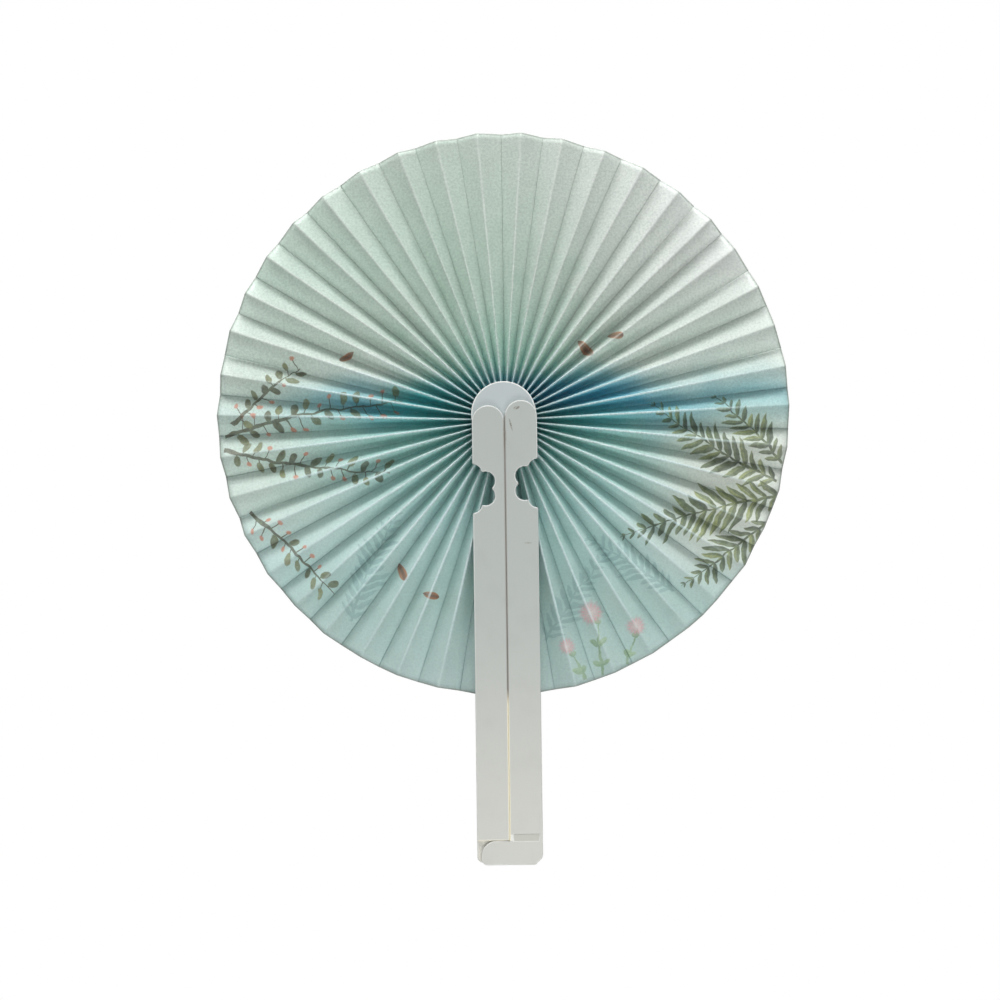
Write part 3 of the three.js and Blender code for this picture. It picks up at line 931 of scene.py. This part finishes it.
def buildLeaf():
    tree = pleatTree()
    material = leafMaterial()
    for number, node in enumerate(pleatNodes):
        piece = addPiece(f"leafPleat{number + 1:02d}", bpy.data.meshes.new(node))
        modifier = piece.modifiers.new("pleat", "NODES")
        modifier.node_group = tree
        for label in (item.name for item in tree.interface.items_tree if item.in_out == "INPUT"):
            key = keyFor(label)
            if key in leaf:
                value = math.radians(leaf[key]) if key == "stray" else leaf[key]
                whole = key in ("acrossSteps", "alongSteps", "seed")
                setInput(modifier, label, value if whole else float(value))
        setInput(modifier, "Pleat", number)
        setInput(modifier, "Material", material)
        wall = piece.modifiers.new("paper", "SOLIDIFY")
        wall.thickness = leaf["paper"]
        wall.offset = 0.0
        freeze(piece)
        body = f"pleat_{number + 1:02d}"
        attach(piece, body)
        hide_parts(node)
        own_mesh(piece)
    print("leaf:", len(pleatNodes), "pleats of", len(piece.data.polygons), "faces")


buildLeaf()


# Moulded pieces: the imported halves, discs and posts with their edges rounded
moulding = {
    "edgeRound": 0.44 * mm,
    "discRound": 0.2 * mm,
    "seamClose": 0.05,  # share of the working gap that shows
    "seamReach": 0.16 * mm,  # corners this near the middle bound the seam
    "tongueHeight": 10.1 * mm,
    "tongueGap": 0.5 * mm,
    "tongueClose": 0.4 * mm,  # how much of that gap is filled in the shown shape, not the working one
    "recessDepth": 1.6 * mm,  # in the left half, under the tongue
    "recessFill": 0.24 * mm,
    "slotDepth": 0.8 * mm,
    "slotFill": 0.6 * mm,
    "slotSides": (1.75 * mm, 12.15 * mm),
    "slotHeight": 2.7 * mm,
    "levelReach": 0.02 * mm,  # corners this near a level lie on it
    "plateBack": -6.0 * mm,  # the front plates lie before this
    "weld": 0.002 * mm,  # joins the frame's loose triangles
    "flatTo": 0.6,  # degrees between faces of one flat
    "sharpFrom": 28.0,  # degrees between faces that count as an edge
    "edgeSlopes": (0.1, 0.985),  # how far a rounded edge faces the front
    "steps": 3,
}
plastic = {
    "upper": srgb(191, 197, 193),
    "grip": srgb(206, 207, 201),
    # painted light low in the seam and along the tongue's top, painted shade higher in the seam
    "seamCream": srgb(252, 244, 214),
    "seamDirt": srgb(130, 123, 112),
    # slot: painted shade in the shallow slot
    "slot": srgb(190, 191, 180),
    # ledge: painted light on the recessed ledge
    "ledge": srgb(226, 224, 212),
    # scuff: the colour of scuffs, and of painted shade in the upper seam
    "scuff": srgb(128, 120, 104),
    # edge: painted highlight on rounded edges, a disc's rim and a seam corner
    "edge": srgb(250, 251, 248),
    "disc": srgb(197, 206, 207),
    "grime": (0.1, 0.09, 0.07, 1.0),
    "gripFade": (85.0 * mm, -15.0 * mm),  # heights from the upper colour to the grip's; the upper part is darker, partly the plastic's tone, partly painted shade
    "dirtFade": (28.0 * mm, 36.0 * mm),
    "seamHalf": (0.34 * mm, 0.6 * mm),
    "seamDeep": (1.2 * mm, 0.5 * mm),  # behind the faces, where the painted seam line ends and is full
    "cornerSides": (0.2 * mm, 1.5 * mm),
    "cornerHeight": 2.6 * mm,
    "ledgeDepth": 0.4 * mm,
    "tongueLine": (0.1 * mm, 0.6 * mm),  # below and above the tongue's top
    "rubbedUp": (0.0, 100.0 * mm),
    "discLine": (0.65 * mm, 0.3 * mm),  # in from a disc's rim
    "markGrain": 1600.0,  # in a metre
    "markWaver": 0.3,  # mm
    "marks": [  # mm across, up, wide and tall, turn in degrees, strength
        (5.2, 152.6, 1.7, 0.8, 14, 0.8),
        (2.7, 145.6, 0.45, 3.2, 16, 0.8),
        # this mark darkens the seam under the hub: painted shade
        (0.0, 141.0, 0.75, 7.0, 0, 0.8),
        (9.2, 96.0, 1.9, 0.5, -3, 0.4),
    ],
    "roughness": 0.36,
    "specular": 0.45,
    "bump": 0.03 * mm,
    "bumpStrength": 0.5,
}
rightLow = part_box("right_handle_half")[0]
tongueTop = rightLow.z + moulding["tongueHeight"]
halfFront = rightLow.y


def onLevel(value, level):
    return abs(value - level) < moulding["levelReach"]


def fitHalf(place):  # working gaps show a little narrower, and the slot shallower
    if abs(place.x) < moulding["seamReach"]:
        place.x *= moulding["seamClose"]
    if onLevel(place.z, tongueTop + moulding["tongueGap"]) and place.y < 0:
        place.z -= moulding["tongueClose"]
    for hollow in ("slot", "recess"):
        if onLevel(place.y, halfFront + moulding[f"{hollow}Depth"]):
            place.y -= moulding[f"{hollow}Fill"]


def roundedCopy(name, node, width):
    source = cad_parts[node]
    mesh = source.data.copy()
    shape = bmesh.new()
    shape.from_mesh(mesh)
    bmesh.ops.remove_doubles(shape, verts=shape.verts, dist=moulding["weld"])
    flat = math.radians(moulding["flatTo"])
    bmesh.ops.dissolve_limit(shape, angle_limit=flat, verts=shape.verts, edges=shape.edges)
    bmesh.ops.recalc_face_normals(shape, faces=shape.faces)
    if node.endswith("half"):
        for vertex in shape.verts:
            fitHalf(vertex.co)
    weights = shape.edges.layers.float.new("bevel_weight_edge")
    sharp = math.radians(moulding["sharpFrom"])
    for edge in shape.edges:
        turn = edge.calc_face_angle_signed(0.0)
        edge[weights] = 1.0 if turn > sharp else 0.0
        edge.smooth = turn > -sharp  # inner corners stay crisp
    for face in shape.faces:
        face.smooth = True
    shape.to_mesh(mesh)
    shape.free()
    piece = addPiece(name, mesh)
    bevel = piece.modifiers.new("edges", "BEVEL")
    bevel.limit_method = "WEIGHT"
    bevel.width = width
    bevel.segments = moulding["steps"]
    bevel.use_clamp_overlap = False
    bevel.miter_outer = "MITER_ARC"
    bevel.harden_normals = True
    weighted = piece.modifiers.new("normals", "WEIGHTED_NORMAL")
    weighted.keep_sharp = True
    freeze(piece)
    highlightEdge = piece.data.attributes.new("moulded", "FLOAT", "FACE")  # 1 on the rounded edges of a plate, where a highlight is painted
    low, high = moulding["edgeSlopes"]
    for face in piece.data.polygons:
        highlightEdge.data[face.index].value = 1.0 if low < abs(face.normal.y) < high else 0.0
    return piece


def dress(piece, node, body, material):
    piece.data.materials.clear()
    piece.data.materials.append(material)
    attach(piece, body)
    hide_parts(node)


def handleWearGroup():
    inputs = [("Place", "NodeSocketVector", None), ("Strength", "NodeSocketFloat", 1.0)]
    outputs = [("Shade", "NodeSocketColor"), ("Gloss", "NodeSocketFloat"), ("Height", "NodeSocketFloat")]
    group, given, made = newGroup("handledPlastic", "ShaderNodeTree", inputs, outputs)
    op = partial(calc, group)
    place = scaled(group, given["Place"], (toMm, toMm, toMm))
    cloud = noise(group, place, 0.09, 3.0)
    fine = noise(group, place, 1.6, 4.0, 0.65)
    rubbed = noise(group, scaled(group, place, (2.6, 2.6, 0.12)), 1.0, 3.0, 0.7)
    scratch = ease(group, rubbed, 0.63, 0.72)
    dust = op("MULTIPLY", ease(group, fine, 0.66, 0.78), 0.35)
    dark = op("ADD", op("MULTIPLY", scratch, 0.05), op("MULTIPLY", dust, 0.1))
    dark = op("ADD", dark, op("MULTIPLY", ease(group, cloud, 0.45, 0.8), 0.05))
    dark = op("MULTIPLY", dark, given["Strength"])
    shade = mixColour(group, dark, white, plastic["grime"])
    feed(group, made["Shade"], shade)
    gloss = op("ADD", op("MULTIPLY", cloud, 0.12), op("MULTIPLY", scratch, 0.14))
    feed(group, made["Gloss"], op("MULTIPLY", gloss, given["Strength"]))
    feed(group, made["Height"], op("SUBTRACT", op("MULTIPLY", fine, 0.35), scratch))
    return group


discLow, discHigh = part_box("front_hub_disc")
discMiddle = (discLow + discHigh) / 2
discRadius = (discHigh.x - discLow.x) / 2


def tintFront(tree, colour, place):  # painted highlight at a seam corner, painted shade in the slot, painted light on the ledge and the tongue's top, and scuffs of the front plates, one of them painted shade in the seam
    op = partial(calc, tree)
    x, y, z = separate(tree, place)
    atFront = op("LESS_THAN", y, moulding["plateBack"])
    onLeft = op("LESS_THAN", x, 0.0)

    def aboveTongue(sides, height):
        return allOf(tree, atFront, within(tree, x, *sides), within(tree, z, tongueTop, tongueTop + height))

    onLedge = within(tree, y, halfFront + plastic["ledgeDepth"], moulding["plateBack"])
    belowGap = op("LESS_THAN", z, tongueTop + moulding["tongueGap"])
    below, above = plastic["tongueLine"]
    onTongueTop = within(tree, z, tongueTop - below, tongueTop + above)
    patches = [
        # painted highlight: a pale corner by the seam above the tongue
        ("edge", 0.6, aboveTongue(plastic["cornerSides"], plastic["cornerHeight"])),
        # painted shade in the shallow slot
        ("slot", 0.6, aboveTongue(moulding["slotSides"], moulding["slotHeight"])),
        # painted light on the recessed ledge under the tongue
        ("ledge", 0.5, allOf(tree, onLedge, onLeft, belowGap)),
        # painted light along the tongue's top, paling the gap
        ("seamCream", 0.4, allOf(tree, onTongueTop, onLeft, atFront)),
    ]
    for name, strength, mask in patches:
        colour = mixColour(tree, op("MULTIPLY", mask, strength), colour, plastic[name])

    flat = scaled(tree, combine(tree, x, z, 0.0), (toMm, toMm, 0.0))
    rough = noise(tree, scaled(tree, place, 3 * (plastic["markGrain"],)), 1.0, 3.0)
    patchy = op("MULTIPLY", ease(tree, rough, 0.3, 0.55), atFront)
    for markX, markZ, wide, tall, turn, strength in plastic["marks"]:
        across, up = turnedPlace(tree, flat, markX, markZ, turn, plastic["markWaver"])
        away = op("POWER", op("DIVIDE", across, wide), 2.0)
        away = op("ADD", away, op("POWER", op("DIVIDE", up, tall), 2.0))
        mark = allOf(tree, fadeOut(tree, away, 0.2, 1.0), patchy, strength)
        colour = mixColour(tree, mark, colour, plastic["scuff"])
    return colour


def seamLine(tree, place):  # at the faces, not deep in the seam: painted light low down, below the leaf, and painted shade above
    op = partial(calc, tree)
    x, y, z = separate(tree, place)
    inSeam = fadeOut(tree, op("ABSOLUTE", x), *plastic["seamHalf"])
    clearOfTongue = op("MAXIMUM", op("GREATER_THAN", z, tongueTop), op("GREATER_THAN", y, 0.0))
    atFace = ease(tree, op("ABSOLUTE", y), *(-halfFront - depth for depth in plastic["seamDeep"]))
    colour = mixColour(tree, ease(tree, z, *plastic["dirtFade"]), plastic["seamCream"], plastic["seamDirt"])
    return allOf(tree, inSeam, clearOfTongue, atFace, 0.7), colour


def discLine(tree, place):  # painted highlight on the rounded rim of a disc
    x, _, z = separate(tree, place)
    across = calc(tree, "SUBTRACT", x, discMiddle.x)
    up = calc(tree, "SUBTRACT", z, discMiddle.z)
    onRim = ease(tree, lengthOf(tree, across, up), *(discRadius - inset for inset in plastic["discLine"]))
    return calc(tree, "MULTIPLY", onRim, 0.85), plastic["edge"]


def plasticMaterial(name, wear, isHandle, upper, grip):
    material, tree, surface = newMaterial(name, plastic["specular"])
    op = partial(calc, tree)
    place = addNode(tree, "ShaderNodeTexCoord").outputs["Object"]
    z = separate(tree, place)[2]
    # darker and cooler towards the top: partly the plastic's tone, partly painted shade
    colour = mixColour(tree, ease(tree, z, *plastic["gripFade"]), upper, grip)
    if isHandle:
        colour = tintFront(tree, colour, place)
    highlightEdge = addNode(tree, "ShaderNodeAttribute", attribute_name="moulded").outputs["Fac"]
    # painted highlight on the rounded edges, stronger higher up
    rubbed = op("MULTIPLY_ADD", ease(tree, z, *plastic["rubbedUp"]), 0.28, 0.22)
    colour = mixColour(tree, op("MULTIPLY", highlightEdge, rubbed), colour, plastic["edge"])
    line, lineColour = seamLine(tree, place) if isHandle else discLine(tree, place)
    colour = mixColour(tree, line, colour, lineColour)
    worn = useGroup(tree, wear, place=place, strength=1.0)
    feed(tree, surface["Base Color"], mixColour(tree, 1.0, colour, worn["Shade"], "MULTIPLY"))
    feed(tree, surface["Roughness"], op("ADD", worn["Gloss"], plastic["roughness"]))
    feed(tree, surface["Normal"], bumpFrom(tree, worn["Height"], plastic["bump"], plastic["bumpStrength"]))
    return material


def buildMouldings():
    wear = handleWearGroup()
    handle = plasticMaterial("handlePlastic", wear, True, plastic["upper"], plastic["grip"])
    disc = plasticMaterial("hubPlastic", wear, False, plastic["disc"], plastic["disc"])
    edgeRound, discRound = moulding["edgeRound"], moulding["discRound"]
    rows = [
        ("leftHalf", "left_handle_half", "left_handle", "handle_plastic", handle, edgeRound),
        ("rightHalf", "right_handle_half", "right_handle", "handle_plastic", handle, edgeRound),
        ("frontDisc", "front_hub_disc", "hub", "hub_plastic", disc, discRound),
        ("backDisc", "back_hub_disc", "hub", "hub_plastic", disc, discRound),
        ("leftPost", "left_pivot_post", "hub", "hub_plastic", disc, discRound),
        ("rightPost", "right_pivot_post", "hub", "hub_plastic", disc, discRound),
    ]
    for name, node, body, slot, material, width in rows:
        piece = roundedCopy(name, node, width)
        dress(piece, node, body, material)
        print("moulding:", name, len(piece.data.polygons), "faces")


buildMouldings()


# Gathering thread: two plies twisted round each other in a loop inside the leaf
threadKind = {
    "plies": 2,
    "twists": 46,
    "steps": 720,
    "sides": 8,
    "colour": srgb(206, 204, 194),
    "roughness": 0.8,
    "specular": 0.2,
}


def threadTree():
    inputs = numbers(["Ring Radius", "Middle X", "Middle Y", "Middle Z", "Ply Radius", "Twists"])
    inputs += [(label, "NodeSocketInt", 8) for label in ("Steps", "Sides", "Plies")]
    inputs.append(("Material", "NodeSocketMaterial", None))
    tree, given, made = newGroup("thread", "GeometryNodeTree", inputs, [("Geometry", "NodeSocketGeometry")])
    op = partial(calc, tree)
    points = addNode(tree, "GeometryNodeCurvePrimitiveCircle")
    feed(tree, points.inputs["Resolution"], given["Steps"])
    copies = addNode(tree, "GeometryNodeDuplicateElements", domain="SPLINE")
    feed(tree, copies.inputs["Geometry"], points.outputs["Curve"])
    feed(tree, copies.inputs["Amount"], given["Plies"])
    ply = copies.outputs["Duplicate Index"]
    step = addNode(tree, "GeometryNodeInputIndex").outputs[0]
    turn = op("MULTIPLY", op("DIVIDE", step, given["Steps"]), 2 * math.pi)
    phase = op("MULTIPLY", op("DIVIDE", ply, given["Plies"]), 2 * math.pi)
    lay = op("ADD", op("MULTIPLY", turn, given["Twists"]), phase)
    away = op("MULTIPLY_ADD", op("COSINE", lay), given["Ply Radius"], given["Ring Radius"])
    x = op("MULTIPLY_ADD", op("SINE", turn), away, given["Middle X"])
    y = op("MULTIPLY_ADD", op("SINE", lay), given["Ply Radius"], given["Middle Y"])
    z = op("MULTIPLY_ADD", op("COSINE", turn), away, given["Middle Z"])
    place = addNode(tree, "GeometryNodeSetPosition")
    feed(tree, place.inputs["Geometry"], copies.outputs["Geometry"])
    feed(tree, place.inputs["Position"], combine(tree, x, y, z))
    profile = addNode(tree, "GeometryNodeCurvePrimitiveCircle")
    feed(tree, profile.inputs["Resolution"], given["Sides"])
    feed(tree, profile.inputs["Radius"], given["Ply Radius"])
    tube = addNode(tree, "GeometryNodeCurveToMesh")
    feed(tree, tube.inputs["Curve"], place.outputs[0])
    feed(tree, tube.inputs["Profile Curve"], profile.outputs[0])
    closeTree(tree, tube.outputs[0], given["Material"], made["Geometry"])
    return tree


def buildThread():
    material, _, surface = newMaterial("cottonThread", threadKind["specular"])
    surface["Base Color"].default_value = threadKind["colour"]
    surface["Roughness"].default_value = threadKind["roughness"]
    middle = (threadLow + threadHigh) / 2
    thick = (threadHigh.y - threadLow.y) / 2
    piece = addPiece("gatheringLoop", bpy.data.meshes.new("gatheringLoop"))
    modifier = piece.modifiers.new("thread", "NODES")
    modifier.node_group = threadTree()
    values = {
        "Ring Radius": (threadHigh.x - threadLow.x) / 2 - thick,
        "Middle X": middle.x,
        "Middle Y": middle.y,
        "Middle Z": middle.z,
        "Ply Radius": thick / 2,
        "Twists": float(threadKind["twists"]),
        "Steps": threadKind["steps"],
        "Sides": threadKind["sides"],
        "Plies": threadKind["plies"],
        "Material": material,
    }
    for label, value in values.items():
        setInput(modifier, label, value)
    freeze(piece)
    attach(piece, "hub")
    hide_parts("gathering_thread")
    print("thread:", len(piece.data.polygons), "faces")


buildThread()
